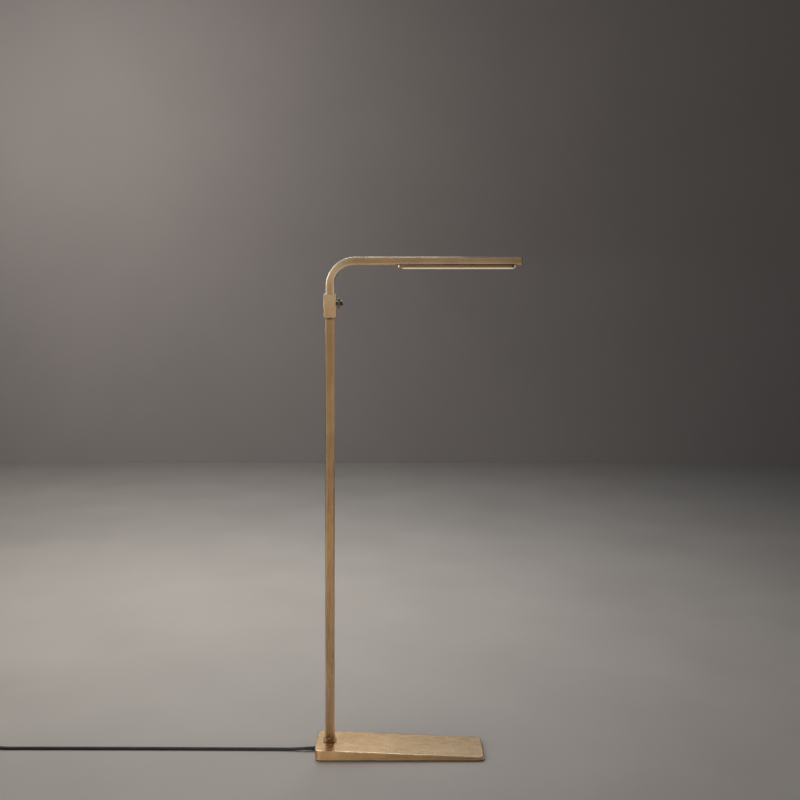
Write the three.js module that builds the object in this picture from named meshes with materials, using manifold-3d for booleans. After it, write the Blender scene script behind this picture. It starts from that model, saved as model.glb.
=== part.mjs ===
// Adjustable arm floor lamp: a wedge-shaped weighted base, a square stem, and a square arm
// that slides in the stem, is held by a thumb screw, and carries a flat LED head.
//
// Millimetres, +Z up. The origin is on the floor, on the stem's axis. +X points along the arm.

import * as THREE from 'three';
import { mergeVertices } from 'three/addons/utils/BufferGeometryUtils.js';
import Module from 'manifold-3d';

const wasm = await Module();
wasm.setup();

// ---------------------------------------------------------------- driving dimensions

const gap = 0.3; // between pieces that touch
const looseFit = 0.4; // round screws and bosses
const past = 1; // how far a cutting solid goes past what it cuts
const tall = 40; // above everything in the base

// Base: a rounded rectangle in plan, a wedge from the side.
const baseLeft = -27;
const baseRight = 305;
const baseDepth = 100;
const baseHighEnd = 21.9;
const baseLowEnd = 8.5;
const baseCorner = 10;
const shellWall = 2.5;
const shellBottom = 1.5;
const padThickness = 1.2;
const padInset = 2;
const baseScrewPlaces = [[-14, -36], [-14, 36], [232, -36], [232, 36]];
const bossRadius = 4.2;
const bossBottom = 5.4;
const screwHeadRadius = 3.6;
const screwHeadBottom = 1.9;
const screwHeadEdge = 2.4; // where the head's cone starts
const screwShankStart = 4;
const screwShankRadius = 1.9;
const driverLeft = 31.5;
const driverRight = 98.5;
const driverDepth = 34;
const driverBottom = 2.2;
const driverTop = 12.8;
const driverCorner = 3;
const mainsLeadRadius = 2.2;
const mainsLeadTurn = -16.5; // x where the lead turns aside, to pass the stem
const mainsLeadSide = 15; // y past the stem
const mainsLeadRoom = 4.5;
const channelTop = 12;

// Stem: a square tube that stands in a socket in the ballast.
const stemSize = 18.4;
const stemWall = 0.8;
const stemCorner = 2;
const stemFoot = 10.1;
const ferruleSize = 20.4;
const ferruleHeight = 9.4;
const anchorTop = 24;
const boltRadius = 2.5;
const boltHeadRadius = 5;
const boltHeadBottom = 2.1;
const washerRadius = 6.8;
const washerBottom = 5.3;
const washerTop = 6.5;
const leadRadius = 1.5;
const leadOffset = 6; // from the stem's axis, in the anchor's groove
const leadHeight = 12.2;
const leadLeavesGroove = 29;
const leadOnAxis = 35;
const leadBend = 4; // radius of a lead's bends
const grooveHalf = 2.4; // half of the groove's width
const curlRadius = 4.5;
const curlBottom = 40;
const curlTop = 476;

// Collar on the stem's top end, with its thumb screw on the +X side.
const collarSize = 24;
const collarCorner = 1.5;
const collarBottom = 866.8;
const collarShoulder = 884;
const collarTop = 914;
const thumbScrewHeight = 895.4;
const threadRadius = 2.9;
const padThick = 1.2;
const thumbNeckRadius = 4;
const thumbDiscRadius = 10.5;
const thumbDiscStart = 16;
const thumbDiscEnd = 19.8;
const thumbHubRadius = 5.5;
const thumbHubEnd = 26;
const setScrewHeight = 875;
const setScrewRadius = 2;

// Arm: a square tube, bent once, that slides in the stem.
const armSize = 16;
const armWall = 1.2;
const armCorner = 2;
const armHeight = 980; // centre of the level run, at the lowest setting
const armLowerEnd = 480;
const armBend = 50;
const armTip = 382.7;
const bendSteps = 10;
const boreSize = armSize - 2 * armWall;
const boreCorner = 0.8;
const bushFlange = 3;
const bushDepth = 12;
const bushBore = 4; // radius of the leads' passage

// Dimmer in the arm's tip, as distances along +X from the tube's end.
const capPlate = 2;
const capDepth = 11.7;
const buttonRadius = 4.4;
const buttonFlangeRadius = 5.2;
const buttonFlangeBack = -5.3;
const buttonFlangeFront = -3.3;
const buttonFace = 3.1;
const buttonStop = -2.7; // the cap's shoulder, which keeps the button in
const switchSize = 12.4;
const switchBack = -24.7;
const switchFront = -12.7;
const plungerRadius = 1.8;
const plungerFront = -7.1;
const switchLeadRadius = 1;
const switchLeadHeight = 4; // over the arm's centreline
const springRadius = 3.6;
const springWire = 0.35;
const springBack = -12;
const springFront = -6;

// LED head under the arm.
const headCentre = 252;
const headLength = 236;
const headWidth = 64;
const headCorner = 10;
const housingDepth = 5.5;
const housingWall = 1.5;
const housingTop = 1.4;
const headGap = 0.5;
const headScrewPlaces = [-67, 78];
const armLeadPlace = -92;
const switchLeadPlace = -52;
const headHoles = [[armLeadPlace, 2.5], [switchLeadPlace, 2], ...headScrewPlaces.map((x) => [x, 1.7])];
const stripHeight = 1; // of the housing's floor beside the diffuser
const boardTop = -1.8;
const boardBottom = -2.7;
const ledRows = [-13, 13];
const ledStart = -98;
const ledEnd = 106;
const ledPitch = 12;
const ledHalf = 1.4; // half of an LED's width
const ledDepth = 0.7;
const diffuserLeft = -107;
const diffuserRight = 114;
const diffuserDepth = 1.2;
const diffuserInset = 1.3;
const lipInset = 3; // the lip inside the housing
const lipHeight = 1.6;

// Mains cord.
const cordRadius = 3;
const exitHeight = 5.2;
const reliefLength = 23;
const reliefStraight = 4;
const reliefWide = 4.1;
const reliefNarrow = 3.3;
const reliefFlange = 5;
const reliefInside = -6;
const reliefHole = 3.9;
const coilX = -728;
const coilY = -18;
const coilInside = 21;
const coilOutside = 45;
const coilBottom = 1.3;
const coilTop = 19.5;
const tailRadius = 24.5; // of the arc that the cord's last stretch takes on the coil
const tailStart = THREE.MathUtils.degToRad(122);
const tailEnd = THREE.MathUtils.degToRad(165);
const tailLow = 23.3;
const tieTurn = THREE.MathUtils.degToRad(310);
const tieHalf = 4; // half of the strap's width
const tieThick = 1;

// Plug, as distances along +X from the cord's end.
const plugHeight = 27.3; // of its axis over the floor
const plugReliefStart = 2;
const plugReliefEnd = 16;
const plugNarrow = 14;
const plugShoulder = 24;
const plugFace = 46;
const plugHalf = 13; // half of the body's width
const plugHalfThick = 7.5;
const pinSpacing = 12.7;
const pinHalfThick = 0.75;
const pinHalfWide = 3.17;
const pinStart = 41.3;
const pinEnd = 63.5;

// ---------------------------------------------------------------- materials

const materials = {
  brass: new THREE.MeshStandardMaterial({ color: 0xb08d62, roughness: 0.35, metalness: 1 }),
  bronze: new THREE.MeshStandardMaterial({ color: 0x5a4030, roughness: 0.4, metalness: 1 }),
  steel: new THREE.MeshStandardMaterial({ color: 0x8c8c8c, roughness: 0.45, metalness: 1 }),
  iron: new THREE.MeshStandardMaterial({ color: 0x3c3c3e, roughness: 0.7, metalness: 0.8 }),
  blackRubber: new THREE.MeshStandardMaterial({ color: 0x1b1a19, roughness: 0.8 }),
  blackPlastic: new THREE.MeshStandardMaterial({ color: 0x222120, roughness: 0.5 }),
  nylon: new THREE.MeshStandardMaterial({ color: 0xd9d4c8, roughness: 0.6 }),
  opal: new THREE.MeshStandardMaterial({ color: 0xf3e9d2, roughness: 0.5 }),
  board: new THREE.MeshStandardMaterial({ color: 0xe8e6de, roughness: 0.5 }),
};

// ---------------------------------------------------------------- solids

// A closed solid from a three.js geometry, with its faces pointing out.
function solid(geometry) {
  geometry.deleteAttribute('normal');
  geometry.deleteAttribute('uv');
  const merged = mergeVertices(geometry, 1e-4);
  const { array } = merged.attributes.position;
  const corner = (i) => new THREE.Vector3().fromArray(array, 3 * i);
  const triangles = [];
  let volume = 0;
  for (let i = 0; i < merged.index.count; i += 3) {
    const [a, b, c] = merged.index.array.slice(i, i + 3);
    if (a !== b && b !== c && c !== a) {
      triangles.push(a, b, c);
      volume += corner(a).dot(corner(b).cross(corner(c)));
    }
  }
  if (volume < 0) {
    triangles.reverse();
  }
  return new wasm.Manifold(new wasm.Mesh({
    numProp: 3,
    vertProperties: Float32Array.from(array),
    triVerts: Uint32Array.from(triangles),
  }));
}

function meshOf(name, material, body) {
  const { vertProperties, triVerts } = body.getMesh();
  const geometry = new THREE.BufferGeometry();
  geometry.setAttribute('position', new THREE.BufferAttribute(vertProperties, 3));
  geometry.setIndex(new THREE.BufferAttribute(triVerts, 1));
  geometry.computeVertexNormals();
  const mesh = new THREE.Mesh(geometry, material);
  mesh.name = name;
  return mesh;
}

function roundedRectangle(x0, x1, y0, y1, radius) {
  const quarter = Math.PI / 2;
  const shape = new THREE.Shape();
  shape.absarc(x1 - radius, y0 + radius, radius, -quarter, 0);
  shape.absarc(x1 - radius, y1 - radius, radius, 0, quarter);
  shape.absarc(x0 + radius, y1 - radius, radius, quarter, 2 * quarter);
  shape.absarc(x0 + radius, y0 + radius, radius, 2 * quarter, 3 * quarter);
  return shape;
}

function roundedSquare(size, radius) {
  return roundedRectangle(-size / 2, size / 2, -size / 2, size / 2, radius);
}

function tubeSection(size, wall, radius) {
  const section = roundedSquare(size, radius);
  section.holes.push(roundedSquare(size - 2 * wall, Math.max(radius - wall, 0.5)));
  return section;
}

// An outline in the XY plane, carried up from z0 to z1.
function prism(outline, z0, z1, curveSegments = 1) {
  const options = { depth: z1 - z0, bevelEnabled: false, curveSegments };
  return solid(new THREE.ExtrudeGeometry(outline, options).translate(0, 0, z0));
}

function block(x0, x1, y0, y1, z0, z1) {
  const box = new THREE.BoxGeometry(x1 - x0, y1 - y0, z1 - z0);
  return solid(box.translate((x0 + x1) / 2, (y0 + y1) / 2, (z0 + z1) / 2));
}

// A piece turned about Z, from [radius, z] pairs that start and end on the axis or close on themselves.
function turned(profile, segments = 12) {
  const points = profile.map(([radius, z]) => new THREE.Vector2(radius, z));
  return solid(new THREE.LatheGeometry(points, segments).rotateX(Math.PI / 2));
}

function cylinder(radius, z0, z1, segments = 12) {
  return turned([[0, z0], [radius, z0], [radius, z1], [0, z1]], segments);
}

function hexagon(radius, z0, z1) {
  return cylinder(radius, z0, z1, 6);
}

// Straight runs joined by round bends. Each corner is [x, y, z, bend radius], and the ends have no radius.
class BentPath extends THREE.Curve {
  constructor(corners, stepsPerBend) {
    super();
    const places = corners.map(([x, y, z]) => new THREE.Vector3(x, y, z));
    const last = places.length - 1;
    this.places = [places[0]];
    this.headings = [places[1].clone().sub(places[0]).normalize()];
    for (let i = 1; i < last; i += 1) {
      this.addBend(places[i - 1], places[i], places[i + 1], corners[i][3], stepsPerBend);
    }
    this.places.push(places[last]);
    this.headings.push(places[last].clone().sub(places[last - 1]).normalize());
    this.steps = this.places.length - 1;
  }

  addBend(before, corner, after, radius, steps) {
    const back = before.clone().sub(corner).normalize();
    const onward = after.clone().sub(corner).normalize();
    const half = back.angleTo(onward) / 2;
    const start = corner.clone().addScaledVector(back, radius / Math.tan(half));
    const middle = back.clone().add(onward).normalize();
    const centre = corner.clone().addScaledVector(middle, radius / Math.sin(half));
    const spoke = start.clone().sub(centre);
    for (let step = 0; step <= steps; step += 1) {
      const turn = (Math.PI - 2 * half) * (step / steps);
      this.places.push(centre.clone()
        .addScaledVector(spoke, Math.cos(turn))
        .addScaledVector(back, -radius * Math.sin(turn)));
      this.headings.push(back.clone().multiplyScalar(-Math.cos(turn))
        .addScaledVector(spoke, -Math.sin(turn) / radius)
        .normalize());
    }
  }

  getPointAt(u) {
    return this.places[Math.round(u * this.steps)].clone();
  }

  getTangentAt(u) {
    return this.headings[Math.round(u * this.steps)].clone();
  }
}

function swept(section, path, steps, curveSegments) {
  return solid(new THREE.ExtrudeGeometry(section, { extrudePath: path, steps, curveSegments }));
}

function roundSection(radius) {
  return new THREE.Shape().absarc(0, 0, radius, 0, 2 * Math.PI);
}

function lead(name, corners, radius = leadRadius) {
  const path = new BentPath(corners, 4);
  return meshOf(name, materials.blackPlastic, swept(roundSection(radius), path, path.steps, 3));
}

// ---------------------------------------------------------------- base

function baseTop(x) {
  return baseHighEnd + (baseLowEnd - baseHighEnd) * ((x - baseLeft) / (baseRight - baseLeft));
}

// Everything under the base's sloping top, lowered by drop.
function underSlope(drop) {
  const x0 = baseLeft - past;
  const x1 = baseRight + past;
  const side = new THREE.Shape();
  side.moveTo(x0, -past);
  side.lineTo(x1, -past);
  side.lineTo(x1, baseTop(x1) - drop);
  side.lineTo(x0, baseTop(x0) - drop);
  const depth = baseDepth + 2 * past;
  const wedge = new THREE.ExtrudeGeometry(side, { depth, bevelEnabled: false });
  return solid(wedge.rotateX(Math.PI / 2).translate(0, depth / 2, 0));
}

function basePlan(inset, z0, z1) {
  const y1 = baseDepth / 2 - inset;
  const outline = roundedRectangle(
    baseLeft + inset, baseRight - inset, -y1, y1, baseCorner - inset);
  return prism(outline, z0, z1, 3);
}

// Room for the stem, from z0 to z1.
function stemRoom(z0, z1) {
  return prism(roundedSquare(stemSize + 2 * gap, stemCorner), z0, z1);
}

function baseShell() {
  let shell = basePlan(0, shellBottom, tall).intersect(underSlope(0));
  shell = shell.subtract(basePlan(shellWall, 0, tall).intersect(underSlope(shellWall)));
  for (const [x, y] of baseScrewPlaces) {
    const boss = cylinder(bossRadius, bossBottom, baseTop(x) - shellWall / 2).translate(x, y, 0);
    const hole = cylinder(screwShankRadius + gap, 0, baseTop(x) - shellWall).translate(x, y, 0);
    shell = shell.add(boss).subtract(hole);
  }
  const inside = shellWall + past;
  const slot = block(baseLeft - past, baseLeft + inside, -reliefHole, reliefHole, 0, exitHeight);
  const arch = cylinder(reliefHole, -past, inside).rotate(0, 90, 0).translate(baseLeft, 0, exitHeight);
  return meshOf('base_shell', materials.brass, shell.subtract(slot.add(arch)).subtract(stemRoom(0, tall)));
}

function baseWeight() {
  const bottom = shellBottom + gap;
  const inset = shellWall + gap;
  let weight = basePlan(inset, bottom, baseHighEnd).intersect(underSlope(inset));
  for (const [x, y] of baseScrewPlaces) {
    const room = cylinder(screwHeadRadius + looseFit, 0, screwShankStart + gap)
      .add(cylinder(screwShankRadius + looseFit, 0, tall))
      .add(cylinder(bossRadius + looseFit, bossBottom - gap, tall));
    weight = weight.subtract(room.translate(x, y, 0));
  }
  const driverRoom = 1.5;
  const driverSide = driverDepth / 2 + driverRoom;
  const leadSide = mainsLeadSide + mainsLeadRoom;
  const stemLeadRoom = 3;
  const cuts = [
    stemRoom(stemFoot - gap, tall),
    cylinder(boltRadius + gap, 0, tall),
    cylinder(washerRadius + gap, 0, washerTop + gap),
    block(driverLeft - driverRoom, driverRight + driverRoom, -driverSide, driverSide, 0, tall),
    block(baseLeft, mainsLeadTurn + mainsLeadRoom, -reliefFlange - past, leadSide, 0, channelTop),
    block(baseLeft, driverLeft, mainsLeadSide - mainsLeadRoom, leadSide, 0, channelTop),
    block(
      stemSize / 2 - past, driverLeft, -stemLeadRoom, stemLeadRoom, stemFoot - gap, leadHeight + stemLeadRoom),
  ];
  for (const cut of cuts) {
    weight = weight.subtract(cut);
  }
  return meshOf('base_weight', materials.iron, weight);
}

function baseScrew(name, x, y) {
  const tip = baseTop(x) - shellWall - 2 * gap;
  const socketRadius = 1.4;
  const socketDepth = 1.3;
  const screw = turned([
    [0, screwHeadBottom], [screwHeadRadius, screwHeadBottom], [screwHeadRadius, screwHeadEdge],
    [screwShankRadius, screwShankStart], [screwShankRadius, tip], [0, tip],
  ]).subtract(hexagon(socketRadius, 0, screwHeadBottom + socketDepth));
  const mesh = meshOf(name, materials.steel, screw);
  mesh.position.set(x, y, 0);
  return mesh;
}

// A sleeve along +Z, with a flange and a neck that hold it in the shell's end wall.
function strainRelief() {
  const wallInside = -shellWall - gap;
  const neck = reliefHole - gap;
  const flat = block(-tall, shellBottom - exitHeight, -tall, tall, -tall, wallInside);
  const relief = turned([
    [0, reliefInside], [reliefFlange, reliefInside], [reliefFlange, wallInside], [neck, wallInside],
    [neck, gap], [reliefWide, gap], [reliefWide, reliefStraight], [reliefNarrow, reliefLength],
    [0, reliefLength],
  ]).subtract(flat);
  const mesh = meshOf('strain_relief', materials.blackRubber, relief);
  mesh.rotation.y = -Math.PI / 2;
  mesh.position.set(baseLeft, 0, exitHeight);
  return mesh;
}

function buildBase() {
  const base = new THREE.Group();
  const y = driverDepth / 2;
  base.add(
    baseShell(),
    baseWeight(),
    meshOf('base_pad', materials.blackRubber, basePlan(padInset, 0, padThickness)),
    meshOf('led_driver', materials.blackPlastic,
      prism(roundedRectangle(driverLeft, driverRight, -y, y, driverCorner), driverBottom, driverTop)),
    strainRelief(),
    lead('mains_lead', [
      [baseLeft - reliefInside + gap, 0, exitHeight],
      [mainsLeadTurn, 0, exitHeight, leadBend],
      [mainsLeadTurn, mainsLeadSide, exitHeight, leadBend],
      [driverLeft - gap, mainsLeadSide, exitHeight],
    ], mainsLeadRadius),
    lead('stem_lead', [
      [driverLeft - gap, 0, leadHeight],
      [leadOffset, 0, leadHeight, leadBend],
      [leadOffset, 0, leadLeavesGroove, leadBend],
      [0, 0, leadOnAxis, leadBend],
      [0, 0, curlBottom - gap],
    ]),
  );
  baseScrewPlaces.forEach(([x, place], i) => base.add(baseScrew(`base_screw_${i + 1}`, x, place)));
  return base;
}

// ---------------------------------------------------------------- stem and collar

function stemAnchor() {
  const plug = prism(roundedSquare(stemSize - 2 * stemWall - 2 * gap, 1), stemFoot + gap, anchorTop);
  const hole = cylinder(boltRadius + gap, 0, tall);
  const groove = block(leadOffset - leadRadius - gap, stemSize, -grooveHalf, grooveHalf, 0, tall);
  return meshOf('stem_anchor', materials.steel, plug.subtract(hole).subtract(groove));
}

function stemBolt() {
  const headTop = washerBottom - gap;
  const tip = anchorTop - past;
  const socketRadius = 2.2;
  const socketTop = headTop - past;
  const bolt = turned([
    [0, boltHeadBottom], [boltHeadRadius, boltHeadBottom], [boltHeadRadius, headTop],
    [boltRadius, headTop], [boltRadius, tip], [0, tip],
  ]);
  return meshOf('stem_bolt', materials.steel, bolt.subtract(hexagon(socketRadius, 0, socketTop)));
}

function stemWasher() {
  const disc = cylinder(washerRadius, washerBottom, washerTop);
  return meshOf('stem_washer', materials.steel, disc.subtract(cylinder(boltRadius + gap, 0, tall)));
}

function stemTube() {
  const tube = prism(tubeSection(stemSize, stemWall, stemCorner), stemFoot, collarShoulder - gap);
  const notchHalf = 2.6;
  const notchTop = 15;
  const leadNotch = block(leadRadius, stemSize, -notchHalf, notchHalf, 0, notchTop);
  return meshOf('stem_tube', materials.brass, tube.subtract(leadNotch));
}

function stemFerrule() {
  const top = baseTop(0) + ferruleHeight;
  const section = roundedSquare(ferruleSize, stemCorner + 0.6);
  section.holes.push(roundedSquare(stemSize + 2 * gap, stemCorner));
  const ring = prism(section, baseTop(0) - shellWall, top);
  return meshOf('stem_ferrule', materials.brass, ring.subtract(underSlope(-gap)));
}

function collar() {
  const body = prism(roundedSquare(collarSize, collarCorner), collarBottom, collarTop)
    .subtract(stemRoom(0, collarShoulder))
    .subtract(prism(roundedSquare(armSize + 2 * gap, armCorner), 0, collarTop + past));
  const thumbHole = cylinder(threadRadius + gap, 0, collarSize)
    .rotate(0, 90, 0)
    .translate(0, 0, thumbScrewHeight);
  const setHole = cylinder(setScrewRadius + gap, 0, collarSize)
    .rotate(-90, 0, 0)
    .translate(0, 0, setScrewHeight);
  return meshOf('collar', materials.brass, body.subtract(thumbHole).subtract(setHole));
}

function collarSetScrew() {
  const inner = stemSize / 2 + gap;
  const outer = collarSize / 2 - looseFit;
  const socketRadius = 1;
  const socketDepth = 1.2;
  const screw = cylinder(setScrewRadius, inner, outer)
    .subtract(hexagon(socketRadius, outer - socketDepth, outer + past));
  const mesh = meshOf('collar_set_screw', materials.steel, screw);
  mesh.rotation.x = -Math.PI / 2;
  mesh.position.z = setScrewHeight;
  return mesh;
}

// Both pieces lie along +X, with distances measured from the stem's axis.
function buildThumbScrew() {
  const padInner = armSize / 2 + gap;
  const padOuter = padInner + padThick;
  const shank = padOuter + gap;
  const shoulder = collarSize / 2 + 2 * gap;
  const bevel = 0.5;
  const pad = cylinder(threadRadius - 0.1, padInner, padOuter);
  const screw = turned([
    [0, shank], [threadRadius, shank], [threadRadius, shoulder], [thumbNeckRadius, shoulder],
    [thumbNeckRadius, thumbDiscStart], [thumbDiscRadius - bevel, thumbDiscStart],
    [thumbDiscRadius, thumbDiscStart + bevel], [thumbDiscRadius, thumbDiscEnd - bevel],
    [thumbDiscRadius - bevel, thumbDiscEnd], [thumbHubRadius, thumbDiscEnd],
    [thumbHubRadius, thumbHubEnd - 2 * bevel], [thumbHubRadius - 2 * bevel, thumbHubEnd], [0, thumbHubEnd],
  ], 24);
  const group = new THREE.Group();
  group.add(
    meshOf('clamp_pad', materials.nylon, pad),
    meshOf('thumb_screw', materials.bronze, screw),
  );
  group.rotation.y = Math.PI / 2;
  group.position.z = thumbScrewHeight;
  return group;
}

function buildStem() {
  const stem = new THREE.Group();
  const curl = meshOf('coiled_lead', materials.blackPlastic, cylinder(curlRadius, 0, curlTop - curlBottom));
  curl.position.z = curlBottom;
  stem.add(
    stemTube(), stemFerrule(), stemAnchor(), stemBolt(), stemWasher(), curl,
    collar(), collarSetScrew(), buildThumbScrew(),
  );
  return stem;
}

// ---------------------------------------------------------------- arm

// The arm's group has its origin where the vertical and level centrelines cross.
function armTube() {
  const path = new BentPath([
    [0, 0, armLowerEnd - armHeight],
    [0, 0, 0, armBend],
    [armTip, 0, 0],
  ], bendSteps);
  let tube = swept(tubeSection(armSize, armWall, armCorner), path, path.steps, 1);
  for (const [x, radius] of headHoles) {
    tube = tube.subtract(cylinder(radius, -armSize, 0, 8).translate(headCentre + x, 0, 0));
  }
  return meshOf('arm_tube', materials.brass, tube);
}

function armBush() {
  const slidingFit = 0.25;
  const flangeSize = stemSize - 2 * stemWall - 2 * slidingFit;
  const bush = prism(roundedSquare(flangeSize, 1.5), -gap - bushFlange, -gap)
    .add(prism(roundedSquare(boreSize - 2 * gap, boreCorner), -gap - bushFlange / 2, bushDepth))
    .subtract(cylinder(bushBore, -gap - bushFlange - past, bushDepth + past));
  const mesh = meshOf('arm_bush', materials.nylon, bush);
  mesh.position.z = armLowerEnd - armHeight;
  return mesh;
}

// Each piece lies along +Z, then the group is turned to lie along +X.
function buildDimmer() {
  const cap = prism(roundedSquare(armSize, armCorner), gap, gap + capPlate)
    .add(prism(roundedSquare(boreSize - 2 * gap, boreCorner), -capDepth, gap + capPlate / 2))
    .subtract(cylinder(buttonFlangeRadius + looseFit, -tall, buttonStop))
    .subtract(cylinder(buttonRadius + gap, -tall, tall));
  const bevel = 0.4;
  const button = turned([
    [0, buttonFlangeBack], [buttonFlangeRadius, buttonFlangeBack],
    [buttonFlangeRadius, buttonFlangeFront], [buttonRadius, buttonFlangeFront],
    [buttonRadius, buttonFace - bevel], [buttonRadius - bevel, buttonFace], [0, buttonFace],
  ], 24);
  const body = prism(roundedSquare(switchSize, boreCorner), switchBack, switchFront)
    .add(cylinder(plungerRadius, switchFront - gap, plungerFront));
  const turns = 4;
  const stepsPerTurn = 8;
  const steps = turns * stepsPerTurn;
  const helix = [];
  for (let i = 0; i <= steps; i += 1) {
    const turn = (i / stepsPerTurn) * 2 * Math.PI;
    const z = springBack + (springFront - springBack) * (i / steps);
    helix.push(new THREE.Vector3(springRadius * Math.cos(turn), springRadius * Math.sin(turn), z));
  }
  const wire = new THREE.CatmullRomCurve3(helix);
  const group = new THREE.Group();
  group.add(
    meshOf('arm_end_cap', materials.bronze, cap),
    meshOf('dimmer_button', materials.bronze, button),
    meshOf('button_spring', materials.steel, swept(roundSection(springWire), wire, 10 * turns, 3)),
    meshOf('dimmer_switch', materials.blackPlastic, body),
  );
  group.rotation.y = Math.PI / 2;
  group.position.x = armTip;
  return group;
}

function buildArm() {
  const arm = new THREE.Group();
  const leadEnd = -armSize / 2 - headGap + boardTop + gap;
  arm.position.z = armHeight;
  arm.add(
    armTube(),
    armBush(),
    buildDimmer(),
    buildHead(),
    lead('arm_lead', [
      [0, 0, curlTop - armHeight + gap],
      [0, 0, 0, armBend],
      [headCentre + armLeadPlace, 0, 0, leadBend],
      [headCentre + armLeadPlace, 0, leadEnd],
    ]),
    lead('switch_lead', [
      [armTip + switchBack - gap, 0, switchLeadHeight],
      [headCentre + switchLeadPlace, 0, switchLeadHeight, leadBend],
      [headCentre + switchLeadPlace, 0, leadEnd],
    ], switchLeadRadius),
  );
  return arm;
}

// ---------------------------------------------------------------- LED head

// The head's group has its origin at the middle of the housing's top face.
function headPlan(inset, z0, z1, left = -headLength / 2, right = headLength / 2) {
  const y1 = headWidth / 2 - inset;
  const outline = roundedRectangle(left + inset, right - inset, -y1, y1, headCorner - inset);
  return prism(outline, z0, z1, 3);
}

function ledHousing() {
  const stripEnd = diffuserLeft - headGap;
  const stripTop = stripHeight - housingDepth;
  const strip = block(-headLength, stripEnd, -headWidth, headWidth, -housingDepth, stripTop)
    .intersect(headPlan(0, -housingDepth, 0));
  let tray = headPlan(0, -housingDepth, 0)
    .subtract(headPlan(housingWall, -housingDepth - past, -housingTop))
    .add(strip);
  for (const [x, radius] of headHoles) {
    tray = tray.subtract(cylinder(radius, -housingTop - past, past, 8).translate(x, 0, 0));
  }
  return meshOf('led_housing', materials.brass, tray);
}

function ledBoard() {
  let board = headPlan(housingWall + 0.7, boardBottom, boardTop);
  for (let x = ledStart; x <= ledEnd; x += ledPitch) {
    for (const y of ledRows) {
      board = board.add(block(
        x - ledHalf, x + ledHalf, y - ledHalf, y + ledHalf, boardBottom - ledDepth, boardBottom + gap));
    }
  }
  const screwRoom = 3.3;
  for (const x of headScrewPlaces) {
    board = board.subtract(cylinder(screwRoom, boardBottom - past, boardTop + past).translate(x, 0, 0));
  }
  return meshOf('led_board', materials.board, board);
}

function diffuser() {
  const top = -housingDepth - gap;
  const slab = headPlan(
    diffuserInset, top - diffuserDepth, top, diffuserLeft - diffuserInset, diffuserRight + diffuserInset);
  const lip = headPlan(
    lipInset, top - gap, top + lipHeight, diffuserLeft - lipInset / 2, diffuserRight + lipInset / 2);
  return meshOf('diffuser', materials.opal, slab.add(lip));
}

function headScrew(name, x) {
  const headRadius = 2.8;
  const headBottom = -3.3;
  const headTop = -housingTop - gap;
  const shank = 1.4;
  const tip = 5;
  const socketRadius = 1.1;
  const socketTop = -2.4;
  const screw = turned([
    [0, headBottom], [headRadius, headBottom], [headRadius, headTop],
    [shank, headTop], [shank, tip], [0, tip],
  ]).subtract(hexagon(socketRadius, headBottom - past, socketTop));
  const mesh = meshOf(name, materials.steel, screw);
  mesh.position.x = x;
  return mesh;
}

function buildHead() {
  const head = new THREE.Group();
  head.position.set(headCentre, 0, -armSize / 2 - headGap);
  head.add(ledHousing(), ledBoard(), diffuser());
  headScrewPlaces.forEach((x, i) => head.add(headScrew(`module_screw_${i + 1}`, x)));
  return head;
}

// ---------------------------------------------------------------- mains cord

// The cord lies almost straight on the floor, then its unused length is wound into a tied coil.
function cordTube() {
  const floor = cordRadius + 0.05;
  const path = new THREE.CatmullRomCurve3([
    [baseLeft - reliefLength - gap, 0, exitHeight],
    [-62, 0.6, 4.4],
    [-80, 1.6, 3.3],
    [-100, 2.4, floor],
    [-180, 3, floor],
    [-280, 4.2, floor],
    [-380, 5.2, floor],
    [-480, 6, floor],
    [-560, 6.4, floor],
    [-620, 6.6, floor],
    [-655, 7.2, floor],
    [-676, 11, floor],
    [-694, 15.8, floor + 0.6],
  ].map(([x, y, z]) => new THREE.Vector3(x, y, z)));
  return meshOf('cord', materials.blackRubber, swept(roundSection(cordRadius), path, 44, 4));
}

function cordCoil() {
  const round = cordRadius;
  const ring = turned([
    [coilInside + round, coilBottom],
    [coilOutside - round, coilBottom],
    [coilOutside, coilBottom + round],
    [coilOutside, coilTop - round],
    [coilOutside - round, coilTop],
    [coilInside + round, coilTop],
    [coilInside, coilTop - round],
    [coilInside, coilBottom + round],
    [coilInside + round, coilBottom],
  ], 28);
  return meshOf('cord_coil', materials.blackRubber, ring);
}

function cordTail() {
  const points = [];
  for (let i = 0; i <= 5; i += 1) {
    const share = i / 5;
    const angle = tailStart + (tailEnd - tailStart) * share;
    const height = tailLow + (plugHeight - tailLow) * Math.sin((share * Math.PI) / 2);
    points.push(new THREE.Vector3(
      tailRadius * Math.cos(angle), tailRadius * Math.sin(angle), height));
  }
  const path = new THREE.CatmullRomCurve3(points);
  return meshOf('cord_tail', materials.blackRubber, swept(roundSection(cordRadius), path, 6, 4));
}

function cordTie() {
  const inside = coilInside - 2 * gap;
  const outside = coilOutside + gap;
  const top = coilTop + gap;
  const strap = block(inside - tieThick, outside + tieThick, -tieHalf, tieHalf, 0, top + tieThick)
    .subtract(block(inside, outside, -tieHalf - past, tieHalf + past, tieThick, top));
  const mesh = meshOf('cord_tie', materials.nylon, strap);
  mesh.rotation.z = tieTurn;
  return mesh;
}

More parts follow.
